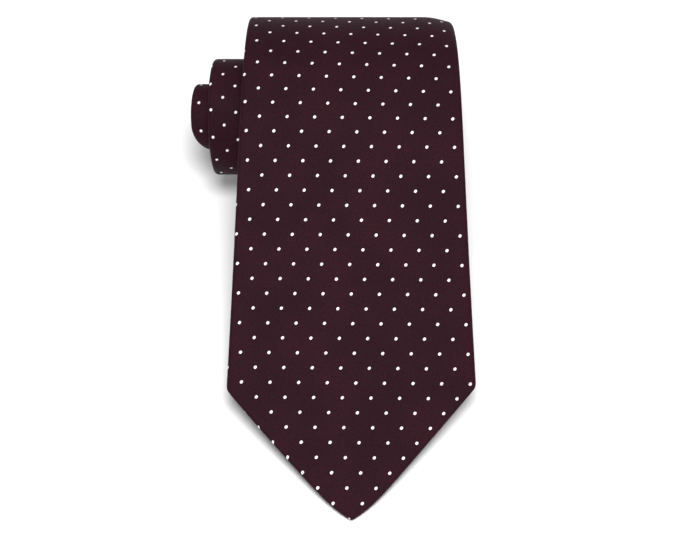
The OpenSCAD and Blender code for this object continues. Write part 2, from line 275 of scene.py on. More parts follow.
def lattice(s, c):
    """Column and row numbers of the woven dots at distance s and cloth coordinate c."""
    skew = np.clip((s - SKEW_FROM) / SKEW_REACH, 0, 2)
    i = (c - DOT_X + COLUMN_DRIFT * (s - COLUMN_FROM)) / DOT_STEP_X
    j = (DOT_S - s - (ROW_DROP + ROW_DROP_MORE * skew) * i * DOT_STEP_X) / DOT_STEP_S
    for start, x0, s0 in TAIL_PHASES:
        tail_i = (c - x0 + TAIL_DRIFT * (s - s0)) / TAIL_STEP_X
        tail_j = (s0 - s - TAIL_DROP * tail_i * TAIL_STEP_X) / TAIL_STEP_S
        i = np.where(s > start, tail_i, i)
        j = np.where(s > start, tail_j, j)
    return i, j


# ---------------------------------------------------------------- mesh makers
# Height of the band in the bake map that holds an end face, and where the long faces begin
CAP_BAND, BODY_FROM = 0.01, 0.012
# The shortest edge that a ring has in the bake map, in metres, and the least divisor
LEAST_EDGE, TINY = 5e-5, 1e-12


def build(name, grid, cloth):
    """Closed tube from rings. The first half of a ring is its outer side, the second half its
    inner side in reverse order. cloth is (distance, cloth coordinate) for each point."""
    rings, count = grid.shape[:2]
    half = count // 2
    faces, uv_cloth, uv_weave, uv_bake = [], [], [], []
    dist, coord = cloth
    ring = grid[rings // 2]
    around = np.linalg.norm(np.diff(np.vstack([ring, ring[:1]]), axis=0), axis=1)
    around = np.maximum(around, LEAST_EDGE)
    run = np.concatenate([[0], np.cumsum(around)]) / np.sum(around)
    steps = np.linalg.norm(np.diff(grid[:, half // 2], axis=0), axis=-1)
    rise = np.concatenate([[0], np.cumsum(steps)]) / max(steps.sum(), TINY)
    rise = BODY_FROM + (1 - 2 * BODY_FROM) * rise
    i_all, j_all = lattice(dist, coord)

    def corner(i, j, wrap=False):
        jj = j % count
        c = coord[i, jj] + (SILK_T if wrap else 0)
        if wrap:
            li, lj = lattice(dist[i, jj], c)
        else:
            li, lj = i_all[i, jj], j_all[i, jj]
        uv_cloth.append((float(li), float(lj)))
        uv_weave.append((float(c), float(dist[i, jj])))
        uv_bake.append((float(run[j]), float(rise[i])))
        return i * count + jj

    for i in range(rings - 1):
        for j in range(count):
            wrap = j == count - 1
            faces.append(
                (corner(i, j), corner(i + 1, j), corner(i + 1, j + 1, wrap), corner(i, j + 1, wrap))
            )
    body = len(faces)
    for i, low in ((0, 0.0), (rings - 1, 1 - CAP_BAND)):
        for j in range(half - 1):
            quad = [(j, 0), (j + 1, 0), (count - 2 - j, 1), (count - 1 - j, 1)]
            if i:
                quad = quad[::-1]
            face = []
            for jj, side in quad:
                face.append(i * count + jj)
                column = jj if side == 0 else count - 1 - jj
                uv_cloth.append((float(i_all[i, jj]), float(j_all[i, jj])))
                uv_weave.append((float(coord[i, jj]), float(dist[i, jj]) + SILK_T * side))
                uv_bake.append((float(run[column]), low + CAP_BAND * side))
            faces.append(tuple(face))
    mesh = bpy.data.meshes.new(name)
    mesh.from_pydata(grid.reshape(-1, 3).tolist(), [], faces)
    for layer, data in (("Cloth", uv_cloth), ("Weave", uv_weave), ("OFBake", uv_bake)):
        uv = mesh.uv_layers.new(name=layer)
        uv.data.foreach_set("uv", np.array(data, np.float32).ravel())
    mesh.uv_layers["Cloth"].active_render = True
    smooth = np.ones(len(faces), bool)
    smooth[body:] = False
    mesh.polygons.foreach_set("use_smooth", smooth)
    mesh.update()
    ends = {i * count + j for i in (0, rings - 1) for j in range(count)}
    for edge in mesh.edges:
        a, b = edge.vertices
        if a in ends and b in ends and a // count == b // count:
            edge.use_edge_sharp = True
    ob = bpy.data.objects.new(name, mesh)
    bpy.context.scene.collection.objects.link(ob)
    return ob


def flap_edge(s):
    """Where the free edge of a back flap lies; below zero the two flaps overlap."""
    s = np.asarray(s, float)

    def from_end(q, width, point, vee):
        knots = [point * HEM / (width / 2), point, vee, vee + 10]
        return np.interp(q, knots, [LIE_GAP, width / 2 - HEM, 0, -OVERLAP])

    return np.where(
        s < TIE_LEN / 2,
        from_end(s, BLADE_W, BLADE_POINT, BLADE_VEE),
        from_end(TIE_LEN - s, TAIL_W, TAIL_POINT, TAIL_VEE),
    )


# Reach of a folded edge, at most this share of the half width, the points round it, and the room
# it leaves for the flap
EDGE_R, EDGE_SHARE, EDGE_N, FLAP_ROOM = 1.5, 0.45, 9, 0.02
# Near a tip the folds are pinched: over what distance, and to what share of the thickness
PINCH_REACH, PINCH = 1.4, 0.12


def shell_side(s, inset, face_n, flap_n):
    """(u, d, cloth coordinate) along one side of the folded silk, rings by points."""
    w, v = half_width(s)[:, None], flap_edge(s)[:, None]
    left = left_width(s)[:, None]
    e = np.minimum(EDGE_R, EDGE_SHARE * w)
    phi = np.linspace(0, math.pi, EDGE_N)[None, :]
    nose = np.clip(np.minimum(s, TIE_LEN - s)[:, None] / PINCH_REACH, 0, 1)
    pinch = PINCH + (1 - PINCH) * np.sqrt(np.clip(1 - (1 - nose) ** 2, 0, 1))

    def edge(thick):
        return (e - inset) * np.sin(phi), thick / 2 + (thick / 2 - inset) * np.cos(phi)

    t = np.linspace(0, 1, flap_n)[None, :-1]
    left_t, right_t = INNER_FLAP_D + SILK_T, TIE_T
    free = np.minimum(v, w - e - FLAP_ROOM)
    flap_l_u = -free + (-(left - e) + free) * t
    flap_l_d = np.full_like(flap_l_u, left_t - inset)
    out, down = edge(left_t)
    left_u, left_d = -(left - e) - out, np.broadcast_to(down, out.shape)
    f = np.linspace(-1, 1, face_n)[None, 1:-1]
    face_u = (np.where(f < 0, left, w) - e) * f
    face_d = np.full_like(face_u, inset)
    out, down = edge(right_t)
    right_u, right_d = (w - e) + out[:, ::-1], np.broadcast_to(down[:, ::-1], out.shape)
    t = np.linspace(0, 1, flap_n)[None, 1:]
    flap_r_u = (w - e) + (free - (w - e)) * t
    flap_r_d = np.full_like(flap_r_u, right_t - inset)
    u = np.concatenate([flap_l_u, left_u, face_u, right_u, flap_r_u], 1)
    d = np.concatenate([flap_l_d, left_d, face_d, right_d, flap_r_d], 1)
    mid = TIE_T / 2
    d = mid + (d - mid) * pinch
    steps = np.hypot(np.diff(u, axis=1), np.diff(d, axis=1))
    c = np.concatenate([np.zeros((len(s), 1)), np.cumsum(steps, 1)], 1)
    centre = flap_n - 1 + EDGE_N + (face_n - 2) // 2
    c = c - c[:, centre : centre + 1] + u[:, centre : centre + 1]
    return u, d, c


def silk(name, s_list, face_n, flap_n):
    s = np.array(s_list, float)
    outer, inner = shell_side(s, 0.0, face_n, flap_n), shell_side(s, SILK_T, face_n, flap_n)
    u = np.concatenate([outer[0], inner[0][:, ::-1]], 1)
    d = np.concatenate([outer[1], inner[1][:, ::-1]], 1)
    c = np.concatenate([outer[2], inner[2][:, ::-1]], 1)
    ob = build(name, place(s[:, None], u, d), (np.broadcast_to(s[:, None], u.shape), c))
    return ob


# Where the points of a ply's rounded edge lie on its quarter circle, the most of the half width
# that the edge may take, and the least half width
EDGE_ANGLES = np.array([[0.35, 1.1]])
PLY_EDGE_SHARE, LEAST_HALF = 0.4, 0.3


def ply(name, s_list, half, top, thickness, across):
    """Flat cloth between two depths, with softly rounded long edges."""
    s = np.array(s_list, float)
    w = np.maximum(half(s), LEAST_HALF)[:, None]
    e = np.minimum(thickness / 2, PLY_EDGE_SHARE * w)
    f = np.linspace(-1, 1, across)[None, 1:-1]
    mid = top + thickness / 2
    edge_u = (w - e) + e * np.cos(EDGE_ANGLES)
    edge_d = mid - thickness / 2 * np.sin(EDGE_ANGLES) + 0 * w
    top_u = np.concatenate([-edge_u, (w - e) * f, edge_u[:, ::-1]], 1)
    top_d = np.concatenate([edge_d, top + 0 * w * f, edge_d[:, ::-1]], 1)
    u = np.concatenate([top_u, top_u[:, ::-1]], 1)
    d = np.concatenate([top_d, (2 * mid - top_d)[:, ::-1]], 1)
    ob = build(name, place(s[:, None], u, d), (np.broadcast_to(s[:, None], u.shape), u))
    return ob


# Sides of a thread, how much its ends narrow, and the depth that tells which way is down
SIDES, END_SHARE, PROBE = 6, 0.55, 0.3


def tubes(name, paths, radius):
    """Threads: round tubes along paths of [s, u, d] points, closed at both ends."""
    verts, faces, uvs = [], [], []
    for path in paths:
        p = place(path[:, 0], path[:, 1], path[:, 2])
        tangent = np.gradient(p, axis=0)
        tangent /= np.linalg.norm(tangent, axis=1)[:, None] + TINY
        down = place(path[:, 0], path[:, 1], path[:, 2] + PROBE) - p
        side = np.cross(tangent, down)
        side /= np.linalg.norm(side, axis=1)[:, None] + TINY
        up = np.cross(side, tangent)
        length = np.concatenate([[0], np.cumsum(np.linalg.norm(np.diff(p, axis=0), axis=1))])
        total = len(p)
        taper = np.ones(total)
        taper[0] = taper[-1] = END_SHARE
        base = len(verts)
        for i in range(total):
            for k in range(SIDES):
                a = 2 * math.pi * k / SIDES
                offset = (side[i] * math.cos(a) + up[i] * math.sin(a)) * radius / 1000 * taper[i]
                verts.append((p[i] + offset).tolist())
        for i in range(total - 1):
            low, high = base + i * SIDES, base + (i + 1) * SIDES
            for k in range(SIDES):
                n = (k + 1) % SIDES
                faces.append((low + k, low + n, high + n, high + k))
                for kk, ii in ((k, i), (k + 1, i), (k + 1, i + 1), (k, i + 1)):
                    uvs.append((kk / SIDES, length[ii] * 1000))
        faces.append(tuple(base + k for k in reversed(range(SIDES))))
        uvs += [(0.5, length[0] * 1000)] * SIDES
        faces.append(tuple(base + (total - 1) * SIDES + k for k in range(SIDES)))
        uvs += [(0.5, length[-1] * 1000)] * SIDES
    mesh = bpy.data.meshes.new(name)
    mesh.from_pydata(verts, [], faces)
    mesh.uv_layers.new(name="Cloth").data.foreach_set("uv", np.array(uvs, np.float32).ravel())
    mesh.polygons.foreach_set("use_smooth", np.ones(len(faces), bool))
    mesh.update()
    ob = bpy.data.objects.new(name, mesh)
    bpy.context.scene.collection.objects.link(ob)
    return ob


# ---------------------------------------------------------------- materials
def srgb(r, g, b):
    def linear(v):
        v /= 255
        return v / 12.92 if v <= 0.04045 else ((v + 0.055) / 1.055) ** 2.4

    return (linear(r), linear(g), linear(b), 1.0)


SHEEN_ROUGH = 0.45
WHITE = (1, 1, 1, 1)


class Nodes:
    """Short way to write a node tree."""

    def __init__(self, name):
        self.material = bpy.data.materials.new(name)
        self.material.use_nodes = True
        self.tree = self.material.node_tree
        self.tree.nodes.clear()
        self.out = self.tree.nodes.new("ShaderNodeOutputMaterial")
        self.shader = self.tree.nodes.new("ShaderNodeBsdfPrincipled")
        self.tree.links.new(self.shader.outputs[0], self.out.inputs[0])

    def add(self, kind, **values):
        node = self.tree.nodes.new(kind)
        for key, value in values.items():
            setattr(node, key, value)
        return node

    def link(self, a, b):
        self.tree.links.new(a, b)

    def uv(self, name):
        return self.add("ShaderNodeUVMap", uv_map=name).outputs[0]

    def split(self, vector):
        node = self.add("ShaderNodeSeparateXYZ")
        self.link(vector, node.inputs[0])
        return node.outputs[0], node.outputs[1]

    def join(self, x, y):
        node = self.add("ShaderNodeCombineXYZ")
        self.put(x, node.inputs[0])
        self.put(y, node.inputs[1])
        return node.outputs[0]

    def put(self, value, socket):
        if isinstance(value, (int, float, tuple)):
            socket.default_value = value
        else:
            self.link(value, socket)

    def math(self, operation, a, b=0.0, c=0.0):
        node = self.add("ShaderNodeMath", operation=operation)
        for value, socket in zip((a, b, c), node.inputs):
            self.put(value, socket)
        return node.outputs[0]

    def times(self, a, b):
        return self.math("MULTIPLY", a, b)

    def plus(self, a, b):
        return self.math("ADD", a, b)

    def minus(self, a, b):
        return self.math("SUBTRACT", a, b)

    def wave(self, value, pitch):
        return self.math("SINE", self.times(value, 2 * math.pi / pitch))

    def mix(self, factor, a, b, blend="MIX"):
        node = self.add("ShaderNodeMix", data_type="RGBA", blend_type=blend)
        self.put(factor, node.inputs[0])
        self.put(a, node.inputs[6])
        self.put(b, node.inputs[7])
        return node.outputs[2]

    def tint(self, colour, other, amount, value, low, high):
        """Mixes in as much of the other colour as amount, where value is high."""
        return self.mix(self.times(self.ramp(value, low, high), amount), colour, other)

    def noise(self, vector, scale, detail=2.0, rough=0.5):
        node = self.add("ShaderNodeTexNoise", noise_dimensions="2D")
        self.link(vector, node.inputs["Vector"])
        node.inputs["Scale"].default_value = scale
        node.inputs["Detail"].default_value = detail
        node.inputs["Roughness"].default_value = rough
        return node.outputs[0]

    def ramp(self, value, low, high):
        node = self.add("ShaderNodeMapRange", interpolation_type="SMOOTHSTEP")
        self.put(value, node.inputs[0])
        node.inputs[1].default_value, node.inputs[2].default_value = low, high
        return node.outputs[0]

    def bump(self, height, distance, strength):
        node = self.add("ShaderNodeBump")
        self.link(height, node.inputs["Height"])
        node.inputs["Distance"].default_value = distance
        node.inputs["Strength"].default_value = strength
        self.link(node.outputs[0], self.shader.inputs["Normal"])

    def finish(self, colour, roughness, sheen, tint, specular):
        self.put(colour, self.shader.inputs["Base Color"])
        self.put(roughness, self.shader.inputs["Roughness"])
        self.shader.inputs["Sheen Weight"].default_value = sheen
        self.shader.inputs["Sheen Roughness"].default_value = SHEEN_ROUGH
        self.shader.inputs["Sheen Tint"].default_value = tint
        self.shader.inputs["Specular IOR Level"].default_value = specular
        return self.material


# Pitch of the silk's ribs, of its finer yarns and of the satin in a dot
RIB_PITCH, YARN_PITCH, SATIN_PITCH = 0.62, 0.34, 0.24
# Slopes of the ribs and yarns: how much of the distance goes into each
RIB_SLOPE, YARN_SLOPE = 1.6, 0.35
# Half length and half width of a dot, how square it is, its lean in degrees and its ragged edge
DOT_A, DOT_B, DOT_SQUARE, DOT_LEAN, RAGGED = 0.66, 0.51, 2.4, 52.0, 0.55
SILK_RELIEF, CLOTH_RELIEF, THREAD_RELIEF = 0.00007, 0.00006, 0.00004


def silk_material(name):
    """Twill with fine ribs that rise to the right, crossed by finer yarns, and woven dots."""
    n = Nodes(name)
    weave = n.uv("Weave")
    c, s = n.split(weave)
    rib = n.wave(n.minus(n.times(s, RIB_SLOPE), c), RIB_PITCH)
    yarn = n.wave(n.plus(n.times(s, YARN_SLOPE), c), YARN_PITCH)
    slub = n.noise(n.join(n.times(c, 0.25), n.times(s, 1.6)), 1.0)
    fleck = n.noise(weave, 1.3, 4.0, 0.75)
    cloud = n.noise(weave, 0.055, 3.0, 0.55)
    dark, mid, light = srgb(25, 12, 17), srgb(43, 18, 26), srgb(62, 25, 38)
    colour = n.mix(n.ramp(cloud, 0.3, 0.7), srgb(38, 17, 25), srgb(47, 19, 28))
    colour = n.tint(colour, light, 0.40, rib, -0.2, 1.0)
    colour = n.tint(colour, dark, 0.20, yarn, 0.2, 1.0)
    colour = n.tint(colour, mid, 0.30, slub, 0.45, 0.75)
    colour = n.tint(colour, dark, 0.62, fleck, 0.46, 0.66)
    relief = n.plus(n.plus(n.times(rib, 0.30), n.times(yarn, 0.14)), n.times(slub, 0.5))

    # Distance from the nearest dot of each of the two sets that the staggered rows make
    i, j = n.split(n.uv("Cloth"))
    lean = math.radians(DOT_LEAN)
    near = []
    for shift in (0.0, 0.5):
        parts = []
        for value, size in ((i, 2 * DOT_STEP_X), (j, -2 * DOT_STEP_S)):
            number = n.plus(n.times(value, 0.5), shift)
            whole = n.math("FLOOR", n.plus(number, 0.5))
            parts.append(n.times(n.minus(number, whole), size))
        x, y = parts
        along = n.plus(n.times(x, math.cos(lean)), n.times(y, math.sin(lean)))
        across = n.minus(n.times(y, math.cos(lean)), n.times(x, math.sin(lean)))
        a = n.math("POWER", n.math("ABSOLUTE", n.math("DIVIDE", along, DOT_A)), DOT_SQUARE)
        b = n.math("POWER", n.math("ABSOLUTE", n.math("DIVIDE", across, DOT_B)), DOT_SQUARE)
        near.append(n.plus(a, b))
    reach = n.math("MINIMUM", near[0], near[1])
    ragged = n.plus(reach, n.times(n.minus(n.noise(weave, 5.0), 0.5), RAGGED))
    dot = n.minus(1.0, n.ramp(ragged, 0.72, 1.12))
    halo = n.minus(1.0, n.ramp(reach, 1.2, 5.0))
    satin = n.wave(s, SATIN_PITCH)
    thread = n.tint(srgb(255, 248, 250), srgb(214, 190, 200), 0.35, satin, -1.0, 0.6)
    colour = n.mix(n.times(halo, 0.35), colour, dark)
    colour = n.mix(dot, colour, thread)
    relief = n.plus(relief, n.times(dot, 1.6))
    relief = n.plus(relief, n.times(n.times(dot, satin), 0.25))
    n.bump(relief, SILK_RELIEF, 0.9)
    return n.finish(colour, n.math("MULTIPLY_ADD", fleck, 0.16, 0.46), 0.012, srgb(196, 140, 180), 0.04)


def cloth_material(name, base, deep, pitch, rough, sheen, fuzz, border=None):
    """Plain woven cloth: crossing yarns with uneven thickness and colour. A border is a woven line:
    (inset, half width of the cloth, its first and its last distance)."""
    n = Nodes(name)
    weave = n.uv("Weave")
    c, s = n.split(weave)
    cross = n.times(n.wave(c, pitch), n.wave(s, pitch))
    cloud = n.noise(weave, 0.12, 4.0, 0.6)
    fleck = n.noise(weave, 3.0, 3.0, 0.65)
    colour = n.mix(n.ramp(cloud, 0.25, 0.75), deep, base)
    colour = n.tint(colour, base, 0.3, cross, -0.3, 1.0)
    colour = n.tint(colour, deep, fuzz, fleck, 0.5, 0.8)
    if border:
        inset, half_u, low_s, high_s = border
        du = n.minus(half_u - inset, n.math("ABSOLUTE", c))
        ds = n.math("MINIMUM", n.minus(s, low_s + inset), n.minus(high_s - inset, s))
        edge = n.math("ABSOLUTE", n.math("MINIMUM", du, ds))
        line = n.minus(1.0, n.ramp(edge, 0.22, 0.38))
        colour = n.mix(n.times(line, 0.8), colour, srgb(150, 128, 110))
        cross = n.plus(cross, n.times(line, 1.2))
    n.bump(n.plus(cross, fleck), CLOTH_RELIEF, 0.8)
    return n.finish(colour, n.math("MULTIPLY_ADD", fleck, 0.15, rough - 0.1), sheen, WHITE, 0.3)


def thread_material(name, base, deep):
    """Two-ply sewing thread: a twist that runs round and along the tube."""
    n = Nodes(name)
    around, along = n.split(n.uv("Cloth"))
    twist = n.wave(n.plus(n.times(around, 2.0), n.times(along, 1.7)), 1.0)
    fleck = n.noise(n.uv("Cloth"), 6.0)
    colour = n.mix(n.ramp(twist, -1.0, 0.8), deep, base)
    colour = n.mix(n.times(fleck, 0.3), colour, deep)
    n.bump(twist, THREAD_RELIEF, 0.8)
    return n.finish(colour, 0.5, 0.15, WHITE, 0.35)


SILK = silk_material("dotted_silk")
WOOL = cloth_material("wool_interlining", srgb(226, 219, 200), srgb(190, 181, 160), 1.1, 0.95, 0.3, 0.6)
TIPPING = cloth_material("tipping_cloth", srgb(62, 27, 40), srgb(38, 17, 26), 0.3, 0.5, 0.15, 0.2)
THREAD = thread_material("plum_thread", srgb(104, 48, 66), srgb(48, 20, 30))
SATIN = cloth_material(
    "label_satin", srgb(34, 30, 34), srgb(18, 16, 19), SATIN_PITCH, 0.42, 0.1, 0.2,
    (1.8, LABEL_LEN / 2, LABEL_S, LABEL_S + LABEL_W),
)
TAG_SATIN = cloth_material("tag_satin", srgb(40, 35, 39), srgb(22, 19, 22), SATIN_PITCH, 0.42, 0.1, 0.2)


# ---------------------------------------------------------------- where the tie is cut
LEAST_STEP = 0.4


def blade_list(a, b, step):
    n = max(2, int(math.ceil((b - a) / step)) + 1)
    return list(np.linspace(a, b, n))


def roll_list(a, b, degrees):
    """Distances from a to b, at even angles round the roll."""
    marks = [s_at(k * degrees) for k in range(int(HALF_TURNS * 180 / degrees))]
    inner = [m for m in marks if a + LEAST_STEP < m < b - LEAST_STEP]
    return [a, *inner, b]


def mid_point(s):
    return tuple(place(s, 0.0, TIE_T / 2).tolist())


BEND_LEN = 28.0
BENDS = {
    "blade_tip": ("blade_middle", "blade_tip", FLEX[0]),
    "blade_middle": ("blade_upper", "blade_middle", FLEX[1]),
    "blade_upper": ("roll", "blade_upper", FLEX[2]),
}


def bend(ob, key):
    a, b, at = BENDS[key]
    mid_point(at)
    mid_point(at - BEND_LEN)
    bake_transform(ob)


def bridge(ob, which):
    ends = BRIDGE_1 if which == 1 else BRIDGE_2
    y0, y1 = (float(place(s, 0.0, TIE_T / 2)[1]) for s in ends)
    x = float(place(ends[0], 0.0, 0.0)[0])
    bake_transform(ob)


# Rings lie closer together at the tips, at the corners and where the flaps come free
NOSE = [0, 0.08, 0.25, 0.5, 0.8, 1.1, 1.4, 1.75, 2.3, 3]
BLADE_FREE = BLADE_POINT * HEM / (BLADE_W / 2)
TAIL_FREE = TAIL_POINT * HEM / (TAIL_W / 2)
TIP_LIST = NOSE + [4, 5.5, 7.5, 10, 12, BLADE_FREE]
TIP_LIST += blade_list(BLADE_FREE, BLADE_POINT - 4, 3.2)[1:]
TIP_LIST += [BLADE_POINT + o for o in (-2.5, -1.5, -0.8, -0.3, 0, 0.3, 0.8, 1.5, 3, 5.5, 8.5)]
TIP_LIST += blade_list(BLADE_POINT + 8.5, FLEX[0], 3.0)[1:]
END_LIST = roll_list(BRIDGE_2[1], TIE_LEN - 14, 6)
END_LIST += [TIE_LEN - q for q in reversed(NOSE + [4.5, 6.5, 9, 11.5, TAIL_FREE])]


def painted(ob, material):
    ob.data.materials.append(material)
    return ob


# ---------------------------------------------------------------- silk
OUT_END = s_at(180)
# Name: (rings, points across the face, points across a flap, the solid it replaces)
pieces = {
    "blade_tip_silk": (TIP_LIST, 45, 15, "blade_tip_shell"),
    "blade_middle_silk": (blade_list(FLEX[0], FLEX[1], 2.5), 45, 15, "blade_middle_shell"),
    "blade_upper_silk": (blade_list(FLEX[1], FLEX[2], 2.5), 45, 15, "blade_upper_shell"),
    "roll_outer_silk": (
        blade_list(FLEX[2], REAR_S, 2.5) + roll_list(REAR_S, OUT_END, 4)[1:],
        45,
        15,
        "blade_rolled_shell",
    ),
    "roll_inner_silk": (roll_list(OUT_END, BLADE_PANEL, 6), 21, 9, "blade_rolled_shell"),
    "neck_silk": (roll_list(BLADE_PANEL, BRIDGE_1[0], 6), 17, 9, "neck_shell"),
    "middle_bridge_silk": (roll_list(*BRIDGE_1, 4), 21, 9, "tail_shell"),
    "middle_turns_silk": (roll_list(BRIDGE_1[1], BRIDGE_2[0], 6), 21, 9, "tail_shell"),
    "core_bridge_silk": (roll_list(*BRIDGE_2, 5), 19, 9, "tail_end_shell"),
    "core_turns_silk": (END_LIST, 21, 9, "tail_end_shell"),
}
made = {}
for name, (s_list, face_n, flap_n, node) in pieces.items():
    ob = painted(silk(name, s_list, face_n, flap_n), SILK)
    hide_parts(node)
    made[name] = ob

# ---------------------------------------------------------------- interlining and tipping
# The plies stay this far inside the folded edges
EDGE_BACK = 1.95


def inside(s):
    return half_width(s) - EDGE_BACK


plies = {
    "blade_tip_wool": (blade_list(HEM / 2, FLEX[0], 4), "blade_tip_interlining"),
    "blade_middle_wool": (blade_list(FLEX[0], FLEX[1], 4), "blade_middle_interlining"),
    "blade_upper_wool": (blade_list(FLEX[1], FLEX[2], 4), "blade_upper_interlining"),
    "roll_wool": (
        blade_list(FLEX[2], REAR_S, 4) + roll_list(REAR_S, BRIDGE_1[0], FACET)[1:],
        "blade_rolled_interlining",
    ),
    "middle_bridge_wool": (roll_list(*BRIDGE_1, FACET), "tail_interlining"),
    "middle_turns_wool": (roll_list(BRIDGE_1[1], BRIDGE_2[0], FACET), "tail_interlining"),
    "core_bridge_wool": (roll_list(*BRIDGE_2, FACET), "tail_end_interlining"),
    "core_turns_wool": (roll_list(BRIDGE_2[1], TIE_LEN - HEM / 2, FACET), "tail_end_interlining"),
}
for name, (s_list, node) in plies.items():
    ob = ply(name, s_list, inside, LINING_D, LINING_T, across=11)
    painted(ob, WOOL)
    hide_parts(node)
    made[name] = ob

linings = {
    "blade_tip_lining": (blade_list(HEM / 3, FLEX[0], 3), "blade_tip_tipping"),
    "blade_middle_lining": (blade_list(FLEX[0], FLEX[1], 3), "blade_middle_tipping"),
    "blade_upper_lining": (blade_list(FLEX[1], BLADE_VEE + HEM, 3), "blade_upper_tipping"),
    "tail_end_lining": (
        roll_list(TIE_LEN - TAIL_VEE - HEM, TIE_LEN - HEM / 3, FACET),
        "tail_end_tipping",
    ),
}
for name, (s_list, node) in linings.items():
    ob = ply(name, s_list, inside, TIPPING_D, TIPPING_T, across=15)
    painted(ob, TIPPING)
    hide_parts(node)
    made[name] = ob

# ---------------------------------------------------------------- sewing
ON_BACK = TIE_T + LIE_GAP
# The slip stitch: how far beside the flap's edge it lies, how far it sways and how often, and its
# height over the flap
SLIP_ASIDE, SLIP_SWAY, SLIP_PITCH, SLIP_LIFT = 0.32, 0.18, 9.0, 0.02


def slip_path(s_list):
    """Thread beside the free edge of the outer flap, catching it every few millimetres."""
    s = np.array(s_list)
    u = flap_edge(s) - SLIP_ASIDE + SLIP_SWAY * np.sin(2 * math.pi * s / SLIP_PITCH)
    return np.stack([s, u, np.full_like(s, OUTER_FLAP_D + THREAD_T / 2 + SLIP_LIFT)], 1)


# Bar tack: where its two core threads lie, the pitch and the size of the wrapping, and its thread
TACK_CORE, TACK_CORE_D, WRAP_PITCH, WRAP_S, WRAP_D, TACK_THREAD_R = 0.12, 0.2, 0.36, 0.42, 0.34, 0.13


def bar_tack(name, at, length):
    """Short satin bar: two core threads wrapped closely with thread."""
    core = []
    for o in (-TACK_CORE, TACK_CORE):
        span = np.linspace(-length / 2, length / 2, 9)
        core.append(np.array([[at + o, u, ON_BACK + TACK_CORE_D] for u in span]))
    wraps = []
    for u in np.arange(-length / 2 + 0.3, length / 2 - 0.2, WRAP_PITCH):
        phi = np.linspace(-0.5, math.pi + 0.5, 9)
        d = ON_BACK + 0.06 + WRAP_D * np.maximum(np.sin(phi), -0.1)
        wraps.append(np.stack([at + WRAP_S * np.cos(phi), u + 0.05 * phi, d], 1))
    return tubes(name, core + wraps, TACK_THREAD_R)


# Seam stitches: margin at the edges, pitch, length, how far they stand off the silk, how much they
# arch, and the radius of the thread
SEAM_MARGIN, SEAM_PITCH, SEAM_STITCH, SEAM_OFF, SEAM_ARCH, SEAM_R = 1.2, 1.9, 1.3, 0.02, 0.05, 0.09


def seam(name, at):
    """Panel seam: a fine row of stitches across the face and the back."""
    w = float(half_width(at))
    rows = []
    for u in np.arange(-w + SEAM_MARGIN, w - SEAM_MARGIN, SEAM_PITCH):
        for depth in (-SEAM_OFF, TIE_T + SEAM_OFF):
            span = np.linspace(u, u + SEAM_STITCH, 5)
            lift = SEAM_ARCH * np.sin(np.linspace(0, math.pi, 5)) * (-1 if depth < 0 else 1)
            rows.append(np.stack([np.full(5, at), span, np.full(5, depth) + lift], 1))
    return tubes(name, rows, SEAM_R)


# Sewing stitches: length, gap and arch
DASH, DASH_GAP, DASH_ARCH = 1.7, 0.9, 0.1


def stitches(name, paths, radius):
    """Dashes of thread along straight paths, each from one (s, u) to another at a depth."""
    rows = []
    for a, b, d in paths:
        a, b = np.array(a, float), np.array(b, float)
        total = float(np.linalg.norm(b - a))
        count = max(1, int((total + DASH_GAP) // (DASH + DASH_GAP)))
        start = (total - count * DASH - (count - 1) * DASH_GAP) / 2
        for k in range(count):
            t = (start + k * (DASH + DASH_GAP) + np.linspace(0, DASH, 6)) / total
            p = a + (b - a) * t[:, None]
            lift = DASH_ARCH * np.sin(np.linspace(0, math.pi, 6))
            rows.append(np.column_stack([p, d + lift]))
    return tubes(name, rows, radius)


slips = {
    "blade_upper_thread": (blade_list(BLADE_VEE + 10, FLEX[2], 2), "blade_upper_slip_stitch"),
    "roll_thread": (
        blade_list(FLEX[2], REAR_S, 2) + roll_list(REAR_S, BRIDGE_1[0], 6)[1:],
        "blade_rolled_slip_stitch",
    ),
    "middle_bridge_thread": (roll_list(*BRIDGE_1, 6), "tail_slip_stitch"),
    "middle_turns_thread": (roll_list(BRIDGE_1[1], BRIDGE_2[0], 6), "tail_slip_stitch"),
    "core_bridge_thread": (roll_list(*BRIDGE_2, 6), "tail_end_slip_stitch"),
    "core_turns_thread": (
        roll_list(BRIDGE_2[1], TIE_LEN - TAIL_VEE - 10, 6),
        "tail_end_slip_stitch",
    ),
}
for name, (s_list, node) in slips.items():
    ob = painted(tubes(name, [slip_path(s_list)], THREAD_T / 2), THREAD)
    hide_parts(node)
    made[name] = ob

# The tail's seam lies this far into the tail's silk
SEAM_ON = 0.4
made["blade_tack"] = bar_tack("blade_tack", BLADE_VEE + TACK_T, TACK_LEN)
made["tail_tack"] = bar_tack("tail_tack", TIE_LEN - TAIL_VEE - TACK_T, TACK_LEN)
made["blade_seam"] = seam("blade_seam", BLADE_PANEL)
made["tail_seam"] = seam("tail_seam", MIDDLE_S + SEAM_ON)

